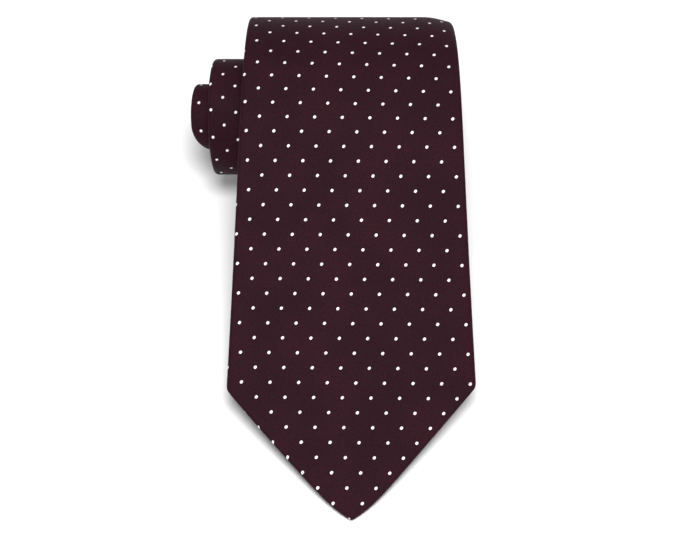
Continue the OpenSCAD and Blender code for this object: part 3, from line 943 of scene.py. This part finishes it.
# Spare loop of the slip stitch: two straight arms and a bow
near = TIE_LEN - TAIL_VEE + TACK_T
arm = np.linspace(near, near + SPARE_LEN, 12)
bow = np.linspace(0, math.pi, 11)[1:-1]
loop = np.concatenate(
    [
        np.stack([arm, np.full_like(arm, -SPARE_W / 2)], 1),
        np.stack([near + SPARE_LEN + SPARE_W / 2 * np.sin(bow), -SPARE_W / 2 * np.cos(bow)], 1),
        np.stack([arm[::-1], np.full_like(arm, SPARE_W / 2)], 1),
    ]
)
loop = np.column_stack([loop, np.full(len(loop), ON_BACK + THREAD_T / 2)])
made["spare_loop"] = tubes("spare_loop", [loop], THREAD_T / 2)
for name, node in (
    ("blade_tack", "blade_bar_tack"),
    ("tail_tack", "tail_bar_tack"),
    ("blade_seam", "blade_neck_seam"),
    ("tail_seam", "neck_tail_seam"),
    ("spare_loop", "spare_thread_loop"),
):
    painted(made[name], THREAD)
    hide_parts(node)

# ---------------------------------------------------------------- keeper loop, label, tag


# The keeper's sewn ends and the length over which it rises from them
KEEPER_FOOT, KEEPER_ARCH = 4.0, 5.0
# Places across the keeper, how square its long edges are, and their share of its thickness
KEEPER_ACROSS = np.array([-1, -0.97, -0.88, -0.6, -0.2, 0.2, 0.6, 0.88, 0.97, 1.0])
KEEPER_SQUARE, KEEPER_EDGE = 6, 0.18


def keeper():
    """Strip of silk folded lengthwise, arched over the back so that the tail slips through."""
    half = KEEPER_LEN / 2
    u = np.linspace(-half, half, 49)
    lift = KEEPER_RISE * eased((half - KEEPER_FOOT - np.abs(u)) / KEEPER_ARCH)
    f = KEEPER_ACROSS
    round_edge = np.sqrt(np.clip(1 - np.abs(f) ** KEEPER_SQUARE, 0, 1))
    bulge = round_edge * (1 - KEEPER_EDGE) + KEEPER_EDGE
    s = CREST_S + f * KEEPER_W / 2
    mid = ON_BACK + KEEPER_T / 2
    top = mid - KEEPER_T / 2 * bulge
    low = mid + KEEPER_T / 2 * bulge
    ring_s = np.concatenate([s, s[::-1]])
    ring_d = np.concatenate([top, low[::-1]])
    grid = place(ring_s[None, :], u[:, None], ring_d[None, :] + lift[:, None])[:, ::-1]
    dist = np.broadcast_to(ring_s[::-1][None, :], grid.shape[:2])
    coord = np.broadcast_to(u[:, None], grid.shape[:2])
    ob = build("keeper_silk", grid, (dist, coord))
    return ob


made["keeper_silk"] = painted(keeper(), SILK)
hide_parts("keeper_loop")
# Rows of stitches across the keeper's ends: places from each end, and margin at the long edges
KEEPER_ROWS, KEEPER_ROW_MARGIN, KEEPER_STITCH_R = (0.8, 3.4), 1.0, 0.14
foot_d = ON_BACK + KEEPER_T + LIE_GAP
cross = []
for side in (-1, 1):
    for row in KEEPER_ROWS:
        u = side * (KEEPER_LEN / 2 - row)
        s0 = CREST_S - KEEPER_W / 2 + KEEPER_ROW_MARGIN
        s1 = CREST_S + KEEPER_W / 2 - KEEPER_ROW_MARGIN
        cross.append(((s0, u), (s1, u), foot_d))
made["keeper_sewing"] = painted(stitches("keeper_sewing", cross, KEEPER_STITCH_R), THREAD)
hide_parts("keeper_stitches")

label_rings = blade_list(LABEL_S, LABEL_S + LABEL_W, 1.2)
label = ply("label_cloth", label_rings, lambda s: 0 * s + LABEL_LEN / 2, ON_BACK, LABEL_T, across=25)
made["label_cloth"] = painted(label, SATIN)
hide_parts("label")
tag_rings = blade_list(TAG_S, TAG_S + TAG_LEN, 1.5)
tag = ply("tag_cloth", tag_rings, lambda s: 0 * s + TAG_W / 2, ON_BACK, LABEL_T, across=9)
made["tag_cloth"] = painted(tag, TAG_SATIN)
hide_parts("care_tag")

# Rows of stitches along the label's short edges: margins, height over the label, and thread
LABEL_MARGIN_S, LABEL_MARGIN_U, LABEL_STITCH_LIFT, LABEL_STITCH_R = 0.6, 0.7, 0.04, 0.12
label_d = ON_BACK + LABEL_T + LABEL_STITCH_LIFT
edges = []
for u in (-LABEL_LEN / 2 + LABEL_MARGIN_U, LABEL_LEN / 2 - LABEL_MARGIN_U):
    edges.append(((LABEL_S + LABEL_MARGIN_S, u), (LABEL_S + LABEL_W - LABEL_MARGIN_S, u), label_d))
made["label_sewing"] = painted(stitches("label_sewing", edges, LABEL_STITCH_R), THREAD)
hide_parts("label_stitches")

for part in ("silk", "wool", "lining"):
    for key in ("blade_tip", "blade_middle", "blade_upper"):
        bend(made[f"{key}_{part}"], key)
bend(made["blade_upper_thread"], "blade_upper")
for part in ("silk", "wool", "thread"):
    bridge(made[f"middle_bridge_{part}"], 1)
    bridge(made[f"core_bridge_{part}"], 2)
    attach(made[f"middle_turns_{part}"], "middle_turns")
    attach(made[f"core_turns_{part}"], "core_turns")
on_roll = ("roll_outer_silk", "roll_inner_silk", "neck_silk", "roll_wool", "roll_thread")
on_roll += ("blade_seam", "keeper_silk", "keeper_sewing", "label_cloth", "tag_cloth", "label_sewing")
for name in on_roll:
    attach(made[name], "roll")
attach(made["blade_tack"], "blade_upper")
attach(made["tail_seam"], "middle_turns")
for name in ("tail_end_lining", "tail_tack", "spare_loop"):
    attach(made[name], "core_turns")

# ---------------------------------------------------------------- floor, light, camera
# Half size of the floor, how far it lies under the tie, its grey and its own faint light
FLOOR_HALF, FLOOR_UNDER, FLOOR_GREY, FLOOR_GLOW = 6.0, 1e-4, 0.9, 0.06
floor_mesh = bpy.data.meshes.new("floor")
around = ((-1, -1), (1, -1), (1, 1), (-1, 1))
corners = [(x * FLOOR_HALF, y * FLOOR_HALF, -FLOOR_UNDER) for x, y in around]
floor_mesh.from_pydata(corners, [], [(0, 1, 2, 3)])
floor = bpy.data.objects.new("floor", floor_mesh)
bpy.context.scene.collection.objects.link(floor)
paper = bpy.data.materials.new("pale_floor")
paper.use_nodes = True
bsdf = paper.node_tree.nodes["Principled BSDF"]
bsdf.inputs["Base Color"].default_value = (FLOOR_GREY, FLOOR_GREY, FLOOR_GREY, 1)
bsdf.inputs["Roughness"].default_value = 0.9
bsdf.inputs["Specular IOR Level"].default_value = 0.1
bsdf.inputs["Emission Color"].default_value = WHITE
bsdf.inputs["Emission Strength"].default_value = FLOOR_GLOW
floor_mesh.materials.append(paper)

# Soft light that comes mostly from above
HORIZON, ZENITH = 0.2, 0.4
world = bpy.data.worlds.new("studio")
world.use_nodes = True
tree = world.node_tree
direction = tree.nodes.new("ShaderNodeTexCoord")
parts = tree.nodes.new("ShaderNodeSeparateXYZ")
height = tree.nodes.new("ShaderNodeMapRange")
tree.links.new(direction.outputs["Generated"], parts.inputs[0])
tree.links.new(parts.outputs[2], height.inputs[0])
height.inputs[3].default_value, height.inputs[4].default_value = HORIZON, ZENITH
background = tree.nodes["Background"]
background.inputs[0].default_value = WHITE
tree.links.new(height.outputs[0], background.inputs[1])
bpy.context.scene.world = world


def area_light(name, at, target, size, power):
    """Round lamp at a place, aimed at a target."""
    data = bpy.data.lights.new(name, "AREA")
    data.shape = "DISK"
    data.size = size
    data.energy = power
    ob = bpy.data.objects.new(name, data)
    ob.location = at
    ob.rotation_mode = "QUATERNION"
    ob.rotation_quaternion = (Vector(target) - Vector(at)).to_track_quat("-Z", "Y")
    bpy.context.scene.collection.objects.link(ob)
    return ob


area_light("overhead", (0.04, -0.75, 1.3), (0, -0.02, 0), 0.45, 24.5)
area_light("back_fill", (0.25, 1.5, 1.1), (0, 0, 0), 1.2, 4)

# The camera looks down at the middle of the blade and a point in front of the roll
TILT, LENS, SENSOR, DISTANCE = math.radians(46.3), 112.2, 36, 0.9
AIM_LEFT, AIM_FRONT, AIM_Z = 0.0005, 0.0410, -0.0490
blade_x = (tip_lo.x + tip_hi.x) / 2
roll_lo, roll_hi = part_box("blade_rolled_shell")
aim = Vector((blade_x - AIM_LEFT, roll_hi.y - AIM_FRONT, AIM_Z))
forward = Vector((0, math.cos(TILT), -math.sin(TILT)))
camera_data = bpy.data.cameras.new("camera")
camera_data.lens, camera_data.sensor_width = LENS, SENSOR
camera = bpy.data.objects.new("camera", camera_data)
camera.location = aim - forward * DISTANCE
camera.rotation_euler = (math.pi / 2 - TILT, 0, 0)
bpy.context.scene.collection.objects.link(camera)
bpy.context.scene.camera = camera
bpy.context.scene.view_settings.view_transform = "Standard"
